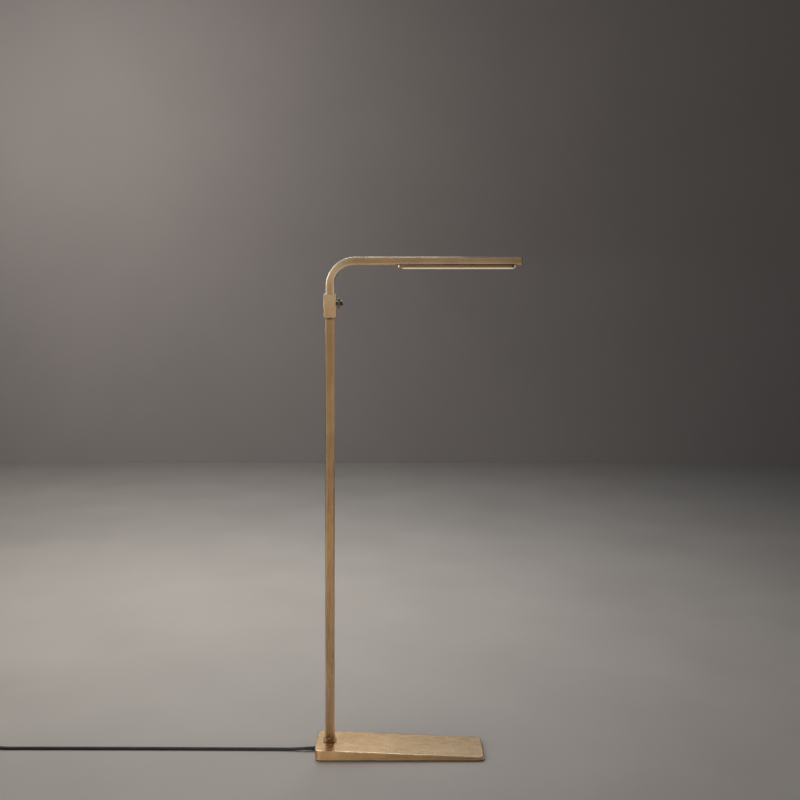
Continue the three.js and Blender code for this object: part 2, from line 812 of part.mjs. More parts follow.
// The plug lies along its own +X, from the cord's end to the tips of its pins.
function buildPlug() {
  const reliefRadius = 5;
  const outline = new THREE.Shape();
  outline.moveTo(plugNarrow, -reliefRadius);
  outline.lineTo(plugShoulder, -plugHalf);
  outline.lineTo(plugFace, -plugHalf);
  outline.lineTo(plugFace, plugHalf);
  outline.lineTo(plugShoulder, plugHalf);
  outline.lineTo(plugNarrow, reliefRadius);
  const relief = turned([
    [0, plugReliefStart], [cordRadius + 1.2, plugReliefStart],
    [reliefRadius, plugReliefEnd], [0, plugReliefEnd],
  ]).rotate(0, 90, 0);
  let body = prism(outline, -plugHalfThick, plugHalfThick).add(relief);
  const plug = new THREE.Group();
  [-pinSpacing / 2, pinSpacing / 2].forEach((y, i) => {
    const thick = pinHalfThick + gap;
    const wide = pinHalfWide + gap;
    body = body.subtract(block(pinStart - gap, plugFace + past, y - thick, y + thick, -wide, wide));
    const pin = block(pinStart, pinEnd, y - pinHalfThick, y + pinHalfThick, -pinHalfWide, pinHalfWide);
    plug.add(meshOf(`plug_pin_${i + 1}`, materials.steel, pin));
  });
  plug.add(meshOf('plug_body', materials.blackRubber, body));
  plug.position.set(tailRadius * Math.cos(tailEnd), tailRadius * Math.sin(tailEnd), plugHeight);
  plug.rotation.z = tailEnd + Math.PI / 2;
  return plug;
}

function buildCordEnd() {
  const end = new THREE.Group();
  end.position.set(coilX, coilY, 0);
  end.add(cordCoil(), cordTail(), cordTie(), buildPlug());
  return end;
}

// ---------------------------------------------------------------- the whole lamp

const lamp = new THREE.Group();
lamp.add(buildBase(), buildStem(), buildArm(), cordTube(), buildCordEnd());

export default lamp;
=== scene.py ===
"""Adjustable arm floor lamp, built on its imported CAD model.

Metres, +Z up. The origin is on the floor, on the stem's axis, and +X points along the arm.
"""

import math

import bmesh
import bpy
from mathutils import Matrix, Vector


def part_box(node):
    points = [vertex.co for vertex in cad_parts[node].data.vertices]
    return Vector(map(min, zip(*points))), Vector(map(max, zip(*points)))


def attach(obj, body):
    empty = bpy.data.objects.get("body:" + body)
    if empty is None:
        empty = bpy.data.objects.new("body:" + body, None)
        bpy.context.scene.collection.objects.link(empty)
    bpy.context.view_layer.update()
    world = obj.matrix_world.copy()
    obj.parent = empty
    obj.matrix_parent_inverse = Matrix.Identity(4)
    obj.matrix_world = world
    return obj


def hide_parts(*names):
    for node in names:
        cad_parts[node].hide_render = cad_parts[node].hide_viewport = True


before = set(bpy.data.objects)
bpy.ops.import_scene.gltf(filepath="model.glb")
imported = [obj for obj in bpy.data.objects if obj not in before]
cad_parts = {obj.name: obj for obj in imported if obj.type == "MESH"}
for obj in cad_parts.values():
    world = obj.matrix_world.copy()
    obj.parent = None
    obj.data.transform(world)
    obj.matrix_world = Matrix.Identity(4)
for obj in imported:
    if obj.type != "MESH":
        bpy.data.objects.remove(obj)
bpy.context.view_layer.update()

MM = 0.001
X_AXIS = Vector((1, 0, 0))
Y_AXIS = Vector((0, 1, 0))
Z_AXIS = Vector((0, 0, 1))

# ---------------------------------------------------------------- camera

CAMERA_PLACE = (0.140, -2.2, 0.922)
CAMERA_LENS = 49.5
CAMERA_SHIFT = -0.1375

camera = bpy.data.objects.new("camera", bpy.data.cameras.new("camera"))
camera.location = CAMERA_PLACE
camera.rotation_euler = (math.radians(90), 0, 0)
camera.data.lens = CAMERA_LENS
camera.data.sensor_width = 36
camera.data.shift_y = CAMERA_SHIFT
bpy.context.scene.collection.objects.link(camera)
bpy.context.scene.camera = camera

# ---------------------------------------------------------------- driving dimensions

GAP = 0.3 * MM  # between neighbouring pieces
SHOULDER = 2.6 * MM  # from a square tube's corner to where its wear ends
SQUARE_STEPS = 8  # in each round corner of a square section

base_low, base_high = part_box("base_shell")
BASE_LOW_END = 8.5 * MM
BASE_CORNER = 10 * MM
SHELL_WALL = 2.5 * MM
BOSS_RADIUS = 4.2 * MM
BOSS_BOTTOM = 5.4 * MM
BOSS_HOLE = 2.2 * MM
BASE_SCREWS = [f"base_screw_{i}" for i in (1, 2, 3, 4)]

STEM_SIZE = 18.4 * MM
STEM_WALL = 0.8 * MM
TUBE_CORNER = 2 * MM
FERRULE_SIZE = 20.4 * MM
stem_low, stem_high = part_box("stem_tube")
ferrule_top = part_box("stem_ferrule")[1].z

collar_low, collar_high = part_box("collar")
COLLAR_CORNER = 1.5 * MM
SCREW_HEIGHT = 895.4 * MM
SCREW_HOLE = 3.2 * MM
SET_SCREW_HEIGHT = 875 * MM
SET_SCREW_HOLE = 2.3 * MM

ARM_SIZE = 16 * MM
ARM_WALL = 1.2 * MM
ARM_BEND = 50 * MM
ARM_HEIGHT = 980 * MM
arm_low, arm_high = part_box("arm_tube")

head_low, head_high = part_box("led_housing")
HEAD_CORNER = 10 * MM
HEAD_WALL = 1.5 * MM
HEAD_PLATE = 1.4 * MM
diffuser_low, diffuser_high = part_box("diffuser")
# (x, radius) of the holes between the arm and the head, for two leads and two screws
HEAD_HOLES = ((160 * MM, 2.5 * MM), (200 * MM, 2 * MM), (185 * MM, 1.7 * MM), (330 * MM, 1.7 * MM))

CORD_RADIUS = 3 * MM
EXIT = (-50 * MM, 0, 5.2 * MM)
COIL_CENTRE = Vector((-728 * MM, -18 * MM, 0))
COIL_WIDE = 41.5 * MM  # radius of the outermost turns
COIL_NARROW = 24.5 * MM  # radius of the innermost turns
PLUG_HEIGHT = 27.3 * MM

# ---------------------------------------------------------------- shapes


def spread(first, last, count):
    """Evenly spaced numbers from first to last."""
    return [first + (last - first) * i / (count - 1) for i in range(count)]


def rounded_rectangle(x0, x1, y0, y1, radius, steps=8, shoulder=0):
    """Points round a rectangle with round corners, counterclockwise. shoulder puts one more point this far
    along the flat on each side of a corner."""
    corners = (
        (x1 - radius, y0 + radius, -90),
        (x1 - radius, y1 - radius, 0),
        (x0 + radius, y1 - radius, 90),
        (x0 + radius, y0 + radius, 180),
    )
    points = []
    for x, y, start in corners:
        arc = []
        for turn in spread(start, start + 90, steps + 1):
            a = math.radians(turn)
            arc.append((x + radius * math.cos(a), y + radius * math.sin(a)))
        if shoulder:
            a = math.radians(start)
            before = (arc[0][0] + shoulder * math.sin(a), arc[0][1] - shoulder * math.cos(a))
            after = (arc[-1][0] - shoulder * math.cos(a), arc[-1][1] - shoulder * math.sin(a))
            arc = [before, *arc, after]
        points += arc
    return points


def rounded_square(size, radius):
    """A square section with shoulders beside its corners, where its edges' wear and painted highlights fade
    out.
    """
    half = size / 2
    return rounded_rectangle(-half, half, -half, half, radius, SQUARE_STEPS, SHOULDER)


def square_wear_and_light(amount, flat=0.0):
    """Wear and painted light for rounded_square's points: most at the middle of each corner, and flat on
    its flats, where a value below zero paints shade.
    """
    corner = [amount * (0.6 + 0.4 * math.sin(math.pi * i / SQUARE_STEPS)) for i in range(SQUARE_STEPS + 1)]
    return [flat, *corner, flat] * 4


def circle_like(outline, radius):
    """A circle with a point in the direction of each point of an outline round the origin."""
    return [tuple(Vector(p).normalized() * radius) for p in outline]


def circle(radius, count):
    turns = [2 * math.pi * i / count for i in range(count)]
    return [(radius * math.cos(a), radius * math.sin(a)) for a in turns]


def level(outline, height, wear_and_painted_light=0.0):
    """A ring for loft(): an outline at a height, which may be a function of x. The last argument is one
    number or a list with one for each point, from 1 for rubbed edges and painted highlights to -1 for
    painted shade."""
    if callable(height):
        return [Vector((x, y, height(x))) for x, y in outline], wear_and_painted_light
    return [Vector((x, y, height)) for x, y in outline], wear_and_painted_light


def rounding(radius, steps=4):
    """(inset, drop) round a quarter circle, from a side wall to a flat top."""
    turns = [math.radians(a) for a in spread(0, 90, steps)]
    return [(radius * (1 - math.cos(a)), radius * (1 - math.sin(a))) for a in turns]


def loft(name, rings, closed=False, place=None):
    """A closed mesh through rings with equal numbers of points. closed joins the last ring to the first
    instead of capping both. place is a matrix from the rings' frame to the lamp's."""
    count = len(rings[0][0])
    mesh = bpy.data.meshes.new(name)
    shape = bmesh.new()
    wear_and_light_layer = shape.verts.layers.float.new("wear_and_painted_light")
    rows = []
    for points, wear_and_painted_light in rings:
        row = []
        worn_and_highlit = wear_and_painted_light if isinstance(wear_and_painted_light, list) else [wear_and_painted_light] * count
        for point, amount in zip(points, worn_and_highlit):
            vertex = shape.verts.new(place @ point if place else point)
            vertex[wear_and_light_layer] = amount
            row.append(vertex)
        rows.append(row)
    pairs = list(zip(rows, rows[1:]))
    if closed:
        pairs.append((rows[-1], rows[0]))
    else:
        shape.faces.new(list(reversed(rows[0])))
        shape.faces.new(rows[-1])
    for lower, upper in pairs:
        for i in range(count):
            j = (i + 1) % count
            shape.faces.new((lower[i], lower[j], upper[j], upper[i]))
    bmesh.ops.recalc_face_normals(shape, faces=shape.faces)
    shape.to_mesh(mesh)
    shape.free()
    piece = bpy.data.objects.new(name, mesh)
    bpy.context.scene.collection.objects.link(piece)
    return piece


def turned(name, profile, place=None, count=48):
    """A piece turned about its Z axis from (radius, height, wear and painted light) stations."""
    rings = [level(circle(radius, count), height, wear_and_painted_light) for radius, height, wear_and_painted_light in profile]
    return loft(name, rings, place=place)


def along_axis(origin, direction):
    """The frame of a piece turned about a line through origin."""
    return Matrix.Translation(origin) @ Vector(direction).to_track_quat("Z", "Y").to_matrix().to_4x4()


def rod(radius, origin, direction, length, count=32):
    """A round bar, used as a tool for cut() and join()."""
    place = along_axis(origin, direction)
    rings = [level(circle(radius, count), 0), level(circle(radius, count), length)]
    return loft("rod", rings, place=place)


def block(low, high):
    """A rectangular bar between two opposite corners, used as a tool for cut()."""
    outline = [(low[0], low[1]), (high[0], low[1]), (high[0], high[1]), (low[0], high[1])]
    return loft("block", [level(outline, low[2]), level(outline, high[2])])


def combine(piece, operation, tools):
    """Joins or cuts a piece with other solids, which are used up."""
    for tool in tools:
        modifier = piece.modifiers.new(operation, "BOOLEAN")
        modifier.operation = operation
        modifier.object = tool
        modifier.solver = "EXACT"
    graph = bpy.context.evaluated_depsgraph_get()
    result = bpy.data.meshes.new_from_object(piece.evaluated_get(graph))
    piece.modifiers.clear()
    piece.data = result
    result.name = piece.name
    for tool in tools:
        bpy.data.objects.remove(tool)


def cut(piece, *tools):
    combine(piece, "DIFFERENCE", tools)


def join(piece, *tools):
    combine(piece, "UNION", tools)


def brush(piece, grain, lay):
    """Stores how the surface was brushed. grain gives (along, across, across) at a point, and lay gives the
    brushing's direction there."""
    for title, rule in (("grain", grain), ("lay", lay)):
        layer = piece.data.attributes.new(title, "FLOAT_VECTOR", "POINT")
        for vertex, item in zip(piece.data.vertices, layer.data):
            item.vector = rule(vertex.co)


def sand(piece, rule):
    """Stores where the surface is sanded matt, from 0 to 1."""
    layer = piece.data.attributes.new("sanded", "FLOAT", "POINT")
    for vertex, item in zip(piece.data.vertices, layer.data):
        item.value = rule(vertex.co)


def brush_x(piece):
    brush(piece, lambda p: p, lambda p: X_AXIS)


def brush_z(piece):
    brush(piece, lambda p: Vector((p.z, p.x, p.y)), lambda p: Z_AXIS)


def brush_round(piece, origin, direction):
    """Brushing that runs round a turned piece's axis."""
    axis = Vector(direction).normalized()
    origin = Vector(origin)

    def grain(p):
        height = (p - origin).dot(axis)
        return Vector((0, height, (p - origin - axis * height).length))

    def lay(p):
        around = axis.cross(p - origin)
        return around.normalized() if around.length > 1e-6 else Z_AXIS

    brush(piece, grain, lay)


def dress(piece, material, slot, body, *nodes, sharp=38):
    """Shades a finished piece, gives it its material, and puts it on its body in place of CAD nodes."""
    piece.data.materials.clear()
    piece.data.materials.append(material)
    if piece.type == "MESH":
        piece.data.shade_smooth()
        piece.data.set_sharp_from_angle(angle=math.radians(sharp))
        weighted = piece.modifiers.new("weighted normals", "WEIGHTED_NORMAL")
        weighted.keep_sharp = True
    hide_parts(*nodes)
    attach(piece, body)
    return piece


# ---------------------------------------------------------------- materials


class Graph:
    """A material's node tree, with short calls for the nodes used here."""

    def __init__(self, name):
        self.material = bpy.data.materials.new(name)
        self.material.use_nodes = True
        self.tree = self.material.node_tree
        self.shader = self.tree.nodes["Principled BSDF"]

    def link(self, value, socket):
        if isinstance(value, bpy.types.NodeSocket):
            self.tree.links.new(value, socket)
        else:
            socket.default_value = value

    def node(self, kind, **settings):
        made = self.tree.nodes.new("ShaderNode" + kind)
        for key, value in settings.items():
            setattr(made, key, value)
        return made

    def place(self):
        return self.node("TexCoord").outputs["Object"]

    def attribute(self, name, output):
        return self.node("Attribute", attribute_name=name).outputs[output]

    def scaled(self, vector, scale):
        made = self.node("Mapping")
        self.link(vector, made.inputs["Vector"])
        made.inputs["Scale"].default_value = scale
        return made.outputs["Vector"]

    def noise(self, vector, scale, detail=3.0, roughness=0.5):
        made = self.node("TexNoise")
        self.link(vector, made.inputs["Vector"])
        made.inputs["Scale"].default_value = scale
        made.inputs["Detail"].default_value = detail
        made.inputs["Roughness"].default_value = roughness
        return made.outputs["Fac"]

    def remap(self, value, low, high, to_low, to_high):
        made = self.node("MapRange")
        self.link(value, made.inputs["Value"])
        for key, number in (
            ("From Min", low), ("From Max", high), ("To Min", to_low), ("To Max", to_high),
        ):
            self.link(number, made.inputs[key])
        return made.outputs["Result"]

    def vary(self, noise, low, high):
        """A value that runs from low to high over the usual range of a noise."""
        return self.remap(noise, 0.3, 0.7, low, high)

    def math(self, operation, a, b=0.0):
        made = self.node("Math", operation=operation)
        self.link(a, made.inputs[0])
        self.link(b, made.inputs[1])
        return made.outputs["Value"]

    def mix(self, factor, a, b):
        made = self.node("Mix", data_type="RGBA")
        self.link(factor, made.inputs["Factor"])
        self.link(a, made.inputs[6])
        self.link(b, made.inputs[7])
        return made.outputs[2]

    def blend(self, noise, dark, light):
        """A colour that runs from dark to light over the usual range of a noise."""
        return self.mix(self.vary(noise, 0.0, 1.0), dark, light)

    def bump(self, height, distance, strength=1.0, below=None):
        made = self.node("Bump")
        self.link(height, made.inputs["Height"])
        made.inputs["Distance"].default_value = distance
        made.inputs["Strength"].default_value = strength
        if below is not None:
            self.link(below, made.inputs["Normal"])
        return made.outputs["Normal"]

    def set(self, **sockets):
        for key, value in sockets.items():
            self.link(value, self.shader.inputs[key.replace("_", " ")])
        return self.material


def brushed_metal(name, dark, light, worn_and_highlit, painted_shade, smooth, rough):
    """Lacquered metal, brushed along its pieces: dark and light are the patina's range, then come the
    colour of rubbed edges and painted highlights, and the colour of painted shade."""
    hairline_stretch = (18, 3200, 3200)
    stroke_stretch = (9, 700, 700)
    sanded_roughness = 0.2
    g = Graph(name)
    grain = g.attribute("grain", "Vector")
    wear_and_painted_light = g.attribute("wear_and_painted_light", "Fac")
    hairlines = g.noise(g.scaled(grain, hairline_stretch), 1.0, 2.0)
    strokes = g.noise(g.scaled(grain, stroke_stretch), 1.0, 4.0, 0.6)
    clouds = g.noise(g.place(), 14.0, 4.0, 0.55)
    blotches = g.noise(g.place(), 55.0, 4.0, 0.55)
    patches = g.math("ADD", g.math("MULTIPLY", clouds, 0.35), g.math("MULTIPLY", blotches, 0.2))
    patina = g.math("ADD", g.math("MULTIPLY", strokes, 0.45), patches)
    colour = g.mix(g.remap(patina, 0.39, 0.61, 0.0, 1.0), dark, light)
    # positive values mix in the colour of rubbed edges and painted highlights, negative ones the painted
    # shade colour
    rubbed_and_highlit = g.math("MULTIPLY", wear_and_painted_light, g.remap(blotches, 0.3, 0.6, 0.75, 1.0))
    colour = g.mix(rubbed_and_highlit, colour, worn_and_highlit)
    colour = g.mix(g.math("MULTIPLY", wear_and_painted_light, -1.0), colour, painted_shade)
    matt = g.remap(g.math("ADD", hairlines, strokes), 0.7, 1.3, smooth, rough)
    sanded = g.math("MULTIPLY", g.attribute("sanded", "Fac"), sanded_roughness)
    matt = g.math("ADD", matt, sanded)
    normal = g.bump(hairlines, 0.00001, 0.4)
    normal = g.bump(strokes, 0.00001, 0.3, normal)
    g.shader.inputs["Anisotropic"].default_value = 0.7
    g.shader.inputs["Anisotropic Rotation"].default_value = 0.25
    g.shader.inputs["Coat Weight"].default_value = 0.8
    g.shader.inputs["Coat Roughness"].default_value = 0.28
    g.link(g.attribute("lay", "Vector"), g.shader.inputs["Tangent"])
    return g.set(Base_Color=colour, Metallic=1.0, Roughness=matt, Normal=normal)


def plain_metal(name, dark, light, smooth, rough, pits=0.00002, size=900):
    g = Graph(name)
    cloud = g.noise(g.place(), 60.0, 4.0, 0.6)
    grit = g.noise(g.place(), size, 2.0)
    colour = g.blend(cloud, dark, light)
    matt = g.vary(grit, smooth, rough)
    return g.set(Base_Color=colour, Metallic=1.0, Roughness=matt, Normal=g.bump(grit, pits))


def moulded(name, dark, light, smooth, rough, texture=0.00003, size=1400):
    """Moulded plastic or rubber: a fine leathery texture, and slight clouds in its colour."""
    g = Graph(name)
    cloud = g.noise(g.place(), 35.0, 3.0)
    pebble = g.noise(g.place(), size, 2.0, 0.6)
    colour = g.blend(cloud, dark, light)
    matt = g.vary(pebble, smooth, rough)
    return g.set(Base_Color=colour, Roughness=matt, Normal=g.bump(pebble, texture))


def opal_acrylic(name):
    """The diffuser, faintly lit from inside, with slight clouds in its colour and its glow."""
    g = Graph(name)
    cloud = g.noise(g.place(), 25.0, 3.0)
    frost = g.noise(g.place(), 2500.0, 2.0)
    cream = g.blend(cloud, (0.84, 0.77, 0.66, 1), (0.9, 0.84, 0.74, 1))
    glow = g.blend(cloud, (1.0, 0.86, 0.66, 1), (1.0, 0.9, 0.72, 1))
    g.shader.inputs["Emission Strength"].default_value = 0.32
    g.shader.inputs["Subsurface Weight"].default_value = 0.15
    g.shader.inputs["Subsurface Scale"].default_value = 0.003
    return g.set(
        Base_Color=cream,
        Emission_Color=glow,
        Roughness=g.vary(frost, 0.38, 0.5),
        Normal=g.bump(frost, 0.00001),
    )


def circuit_board(name):
    """A white board with yellow phosphor on its LEDs, which stand below it."""
    g = Graph(name)
    height = g.node("SeparateXYZ")
    g.link(g.place(), height.inputs["Vector"])
    chip_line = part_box("led_board")[0].z + 0.55 * MM
    chips = g.math("LESS_THAN", height.outputs["Z"], chip_line)
    cloud = g.noise(g.place(), 120.0, 3.0)
    white = g.mix(cloud, (0.74, 0.74, 0.7, 1), (0.86, 0.86, 0.82, 1))
    phosphor = g.mix(cloud, (0.8, 0.6, 0.12, 1), (0.9, 0.7, 0.2, 1))
    return g.set(
        Base_Color=g.mix(chips, white, phosphor),
        Roughness=g.vary(cloud, 0.35, 0.5),
        Normal=g.bump(cloud, 0.00002),
    )


# the last two colours of each are for rubbed edges and painted highlights, and for painted shade
brass = brushed_metal(
    "brass", (0.50, 0.285, 0.115, 1), (0.68, 0.42, 0.19, 1), (0.95, 0.78, 0.56, 1), (0.11, 0.05, 0.015, 1),
    0.22, 0.32)
bronze = brushed_metal(
    "bronze", (0.06, 0.03, 0.015, 1), (0.11, 0.06, 0.032, 1), (0.5, 0.33, 0.22, 1), (0.03, 0.015, 0.01, 1),
    0.24, 0.38)
steel = plain_metal("steel", (0.42, 0.42, 0.41, 1), (0.6, 0.6, 0.58, 1), 0.28, 0.45)
nickel = plain_metal("nickel", (0.58, 0.54, 0.47, 1), (0.72, 0.68, 0.6, 1), 0.16, 0.28)
iron = plain_metal("iron", (0.05, 0.05, 0.052, 1), (0.11, 0.11, 0.11, 1), 0.6, 0.85, 0.0003, 500)
rubber = moulded("rubber", (0.012, 0.0115, 0.011, 1), (0.024, 0.023, 0.022, 1), 0.72, 0.92)
cord_sheath = moulded("cord_sheath", (0.013, 0.011, 0.010, 1), (0.024, 0.02, 0.018, 1), 0.5, 0.68)
black_plastic = moulded("black_plastic", (0.012, 0.012, 0.012, 1), (0.026, 0.026, 0.025, 1), 0.38, 0.55)
lead_sheath = moulded("lead_sheath", (0.02, 0.02, 0.02, 1), (0.035, 0.034, 0.033, 1), 0.35, 0.5)
nylon = moulded("nylon", (0.58, 0.55, 0.48, 1), (0.7, 0.67, 0.6, 1), 0.4, 0.6)
strap = moulded("strap", (0.02, 0.019, 0.018, 1), (0.045, 0.043, 0.04, 1), 0.85, 1.0, 0.00012, 1100)
opal = opal_acrylic("opal")
board = circuit_board("board")

CAD_FINISHES = {
    steel: BASE_SCREWS + [
        "stem_anchor", "stem_bolt", "stem_washer", "collar_set_screw", "button_spring",
        "module_screw_1", "module_screw_2",
    ],
    iron: ["base_weight"],
    black_plastic: ["led_driver", "dimmer_switch"],
    lead_sheath: ["mains_lead", "stem_lead", "coiled_lead", "arm_lead", "switch_lead"],
    nylon: ["arm_bush", "clamp_pad"],
    board: ["led_board"],
}
for material, nodes in CAD_FINISHES.items():
    for name in nodes:
        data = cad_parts[name].data
        data.materials.clear()
        data.materials.append(material)

# ---------------------------------------------------------------- base


def base_top(x, drop=0.0):
    """The height of the base's sloping top at x, less drop."""
    share = (x - base_low.x) / (base_high.x - base_low.x)
    return base_high.z + (BASE_LOW_END - base_high.z) * share - drop


def under_top(drop):
    """The height this far under the base's sloping top, as a function of x."""
    return lambda x: base_top(x, drop)


def base_plan(inset):
    """The base's outline, drawn in by inset."""
    corner = max(BASE_CORNER - inset, 1 * MM)
    return rounded_rectangle(
        base_low.x + inset, base_high.x - inset, base_low.y + inset, base_high.y - inset, corner, 12)


def edge_highlight_and_shade(outline):
    """The base's top edge: a painted highlight along the front, and painted shade along the back and the
    right end.
    """
    middle = (base_low.y + base_high.y) / 2
    right = base_high.x - BASE_CORNER / 2
    return [-0.7 if y > middle or x > right else 0.45 for x, y in outline]


def build_base_shell():
    edge = 1 * MM
    foot_edge = 2 * MM
    foot = list(reversed(rounding(foot_edge, 6)))
    # painted shade on the lower part of the foot's rounding, over the gap under the base, and a painted
    # highlight above it
    foot_highlight_and_shade = (-1, -1, -0.6, 0.2, 0.6, 0.4)
    # how far out from the stem's foot the painted shade on the base's top reaches
    foot_shade_reach = 5 * MM
    support = 1.2 * MM
    bottom = base_low.z

    def square_hole(reach):
        return rounded_rectangle(-reach, reach, -reach, reach, TUBE_CORNER, 12)

    stem_hole = square_hole(STEM_SIZE / 2 + GAP)
    rings = [level(base_plan(SHELL_WALL), bottom)]
    rings += [level(base_plan(inset), bottom + drop, wear_and_painted_light) for (inset, drop), wear_and_painted_light in zip(foot, foot_highlight_and_shade)]
    rings.append(level(base_plan(0), bottom + foot_edge + support))
    rings.append(level(base_plan(0), under_top(edge + support)))
    for inset, drop in rounding(edge):
        rings.append(level(base_plan(inset), under_top(drop), edge_highlight_and_shade(base_plan(0))))
    rings += [
        level(base_plan(edge + support), under_top(0)),
        # painted shade on the top, deepening to the stem's foot
        level(square_hole(FERRULE_SIZE / 2 + foot_shade_reach), under_top(0)),
        level(square_hole(FERRULE_SIZE / 2), under_top(0), -1),
        level(stem_hole, under_top(0), -1),
        level(stem_hole, under_top(SHELL_WALL)),
        level(base_plan(SHELL_WALL), under_top(SHELL_WALL)),
    ]
    shell = loft("lamp_base", rings, closed=True)
    bosses = []
    holes = []
    for name in BASE_SCREWS:
        low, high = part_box(name)
        x, y = (low.x + high.x) / 2, (low.y + high.y) / 2
        ceiling = base_top(x, SHELL_WALL)
        bosses.append(rod(BOSS_RADIUS, (x, y, BOSS_BOTTOM), Z_AXIS, ceiling + 1 * MM - BOSS_BOTTOM))
        holes.append(rod(BOSS_HOLE, (x, y, 0), Z_AXIS, ceiling))
    join(shell, *bosses)
    neck = 3.9 * MM
    slot = block((base_low.x - MM, -neck, 0), (base_low.x + SHELL_WALL + MM, neck, EXIT[2]))
    arch = rod(neck, (base_low.x - MM, 0, EXIT[2]), X_AXIS, SHELL_WALL + 2 * MM)
    cut(shell, slot, arch, *holes)
    brush_x(shell)
    sand(shell, lambda p: 1.0 if p.z < base_top(p.x, edge / 2) else 0.0)
    return dress(shell, brass, "brass", "base", "base_shell")


def build_base_pad():
    low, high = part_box("base_pad")
    edge = 0.3 * MM
    inset = low.x - base_low.x
    rings = [level(base_plan(inset + a), low.z + b) for a, b in reversed(rounding(edge))]
    rings += [level(base_plan(inset + a), high.z - b) for a, b in rounding(edge)]
    return dress(loft("floor_pad", rings), rubber, "pad", "base", "base_pad")


def build_strain_relief():
    """A tapered rubber sleeve with grooves, held in the base's end wall by its flange."""
    start, end = 4.0 * MM, 23.0 * MM
    wide, narrow = 4.1 * MM, 3.3 * MM
    profile = [
        (4.6 * MM, -6.0 * MM, 0), (5.0 * MM, -5.6 * MM, 0), (5.0 * MM, -2.8 * MM, 0),
        (3.6 * MM, -2.8 * MM, 0), (3.6 * MM, 0.3 * MM, 0), (3.9 * MM, 0.3 * MM, 0),
        (wide, 0.6 * MM, 0), (wide, start, 0),
    ]
    grooves = 5
    pitch = (end - start) / grooves
    for i in range(grooves):
        for part, depth in ((0.15, 0.4 * MM), (0.45, 0.4 * MM), (0.6, 0), (0.97, 0)):
            height = start + (i + part) * pitch
            radius = wide + (narrow - wide) * (height - start) / (end - start)
            profile.append((radius - depth, height, 0))
    profile.append((narrow - 0.15 * MM, end, 0))
    place = along_axis((base_low.x, 0, EXIT[2]), -X_AXIS)
    relief = turned("cord_relief", profile, place)
    cut(relief, block((base_low.x, -8 * MM, -2 * MM), (base_low.x + 8 * MM, 8 * MM, base_low.z)))
    return dress(relief, rubber, "cord_black", "base", "strain_relief")


# ---------------------------------------------------------------- stem and collar


def build_stem():
    """The square tube. Its (height, amount) rings paint shade at its foot, on its upper part and under the
    collar, and a highlight low down.
    """
    outer = rounded_square(STEM_SIZE, TUBE_CORNER)
    inner = rounded_square(STEM_SIZE - 2 * STEM_WALL, TUBE_CORNER - STEM_WALL)
    break_edge = 0.2 * MM
    deburred = rounded_square(STEM_SIZE - 2 * break_edge, TUBE_CORNER - break_edge)
    painted_light_by_height = (
        (stem_low.z + break_edge, 0), (ferrule_top + 1 * MM, -0.55), (ferrule_top + 12 * MM, 0),
        (110 * MM, 0.22), (300 * MM, 0.05), (650 * MM, 0), (800 * MM, -0.4), (collar_low.z - 6 * MM, -0.4),
        (collar_low.z - 2 * MM, -0.9), (collar_low.z + 2 * MM, -1), (stem_high.z - break_edge, 0),
    )
    rings = [level(inner, stem_low.z), level(deburred, stem_low.z)]
    rings += [level(outer, height, square_wear_and_light(0.45 + amount, amount)) for height, amount in painted_light_by_height]
    rings += [level(deburred, stem_high.z), level(inner, stem_high.z)]
    stem = loft("stem", rings, closed=True)
    lead_notch = block((4 * MM, -2.6 * MM, 0), (12 * MM, 2.6 * MM, 15 * MM))
    cut(stem, lead_notch)
    brush_z(stem)
    return dress(stem, brass, "brass", "base", "stem_tube")


def build_ferrule():
    edge = 0.35 * MM
    corner = TUBE_CORNER + 0.6 * MM
    # painted shade all over the foot, deepest where it meets the base
    wear_and_painted_light = square_wear_and_light(0.1, -0.55)
    hole = rounded_square(STEM_SIZE + 2 * GAP, TUBE_CORNER)
    outer = rounded_square(FERRULE_SIZE, corner)
    rings = [
        level(hole, under_top(-GAP)),
        level(outer, under_top(-GAP), -0.8),
        level(outer, under_top(-GAP - 1 * MM), wear_and_painted_light),
        level(outer, ferrule_top - edge - 0.8 * MM, wear_and_painted_light),
    ]
    for inset, drop in rounding(edge):
        outline = rounded_square(FERRULE_SIZE - 2 * inset, corner - inset)
        rings.append(level(outline, ferrule_top - drop, -0.3))
    rings.append(level(hole, ferrule_top, -0.6))
    ferrule = loft("stem_foot", rings, closed=True)
    brush_z(ferrule)
    return dress(ferrule, brass, "brass", "base", "stem_ferrule")


def build_collar():
    edge = 0.8 * MM
    support = 1 * MM
    width = collar_high.x - collar_low.x
    shoulder = stem_high.z + GAP

    def outer(inset):
        return rounded_square(width - 2 * inset, COLLAR_CORNER - inset)

    stem_bore = rounded_square(STEM_SIZE + 2 * GAP, TUBE_CORNER)
    arm_bore = rounded_square(ARM_SIZE + 2 * GAP, TUBE_CORNER)
    # painted shade in the bores where the collar meets the stem and the arm; the edges are rubbed, and the
    # faces get lighter towards the top, a painted highlight
    rings = [level(stem_bore, collar_low.z, -1.0)]
    rings += [level(outer(inset), collar_low.z + drop, 0.7) for inset, drop in reversed(rounding(edge))]
    rings.append(level(outer(0), collar_low.z + edge + support, square_wear_and_light(0.4, 0.05)))
    rings.append(level(outer(0), collar_high.z - edge - support, square_wear_and_light(0.5, 0.3)))
    rings += [level(outer(inset), collar_high.z - drop, 1.0) for inset, drop in rounding(edge)]
    rings += [
        level(arm_bore, collar_high.z, -0.4),
        level(arm_bore, shoulder),
        level(stem_bore, shoulder),
    ]
    collar = loft("stem_collar", rings, closed=True)
    cut(
        collar,
        rod(SCREW_HOLE, (5 * MM, 0, SCREW_HEIGHT), X_AXIS, 15 * MM),
        rod(SET_SCREW_HOLE, (0, 5 * MM, SET_SCREW_HEIGHT), Y_AXIS, 15 * MM),
    )
    brush_z(collar)
    return dress(collar, brass, "brass", "base", "collar")


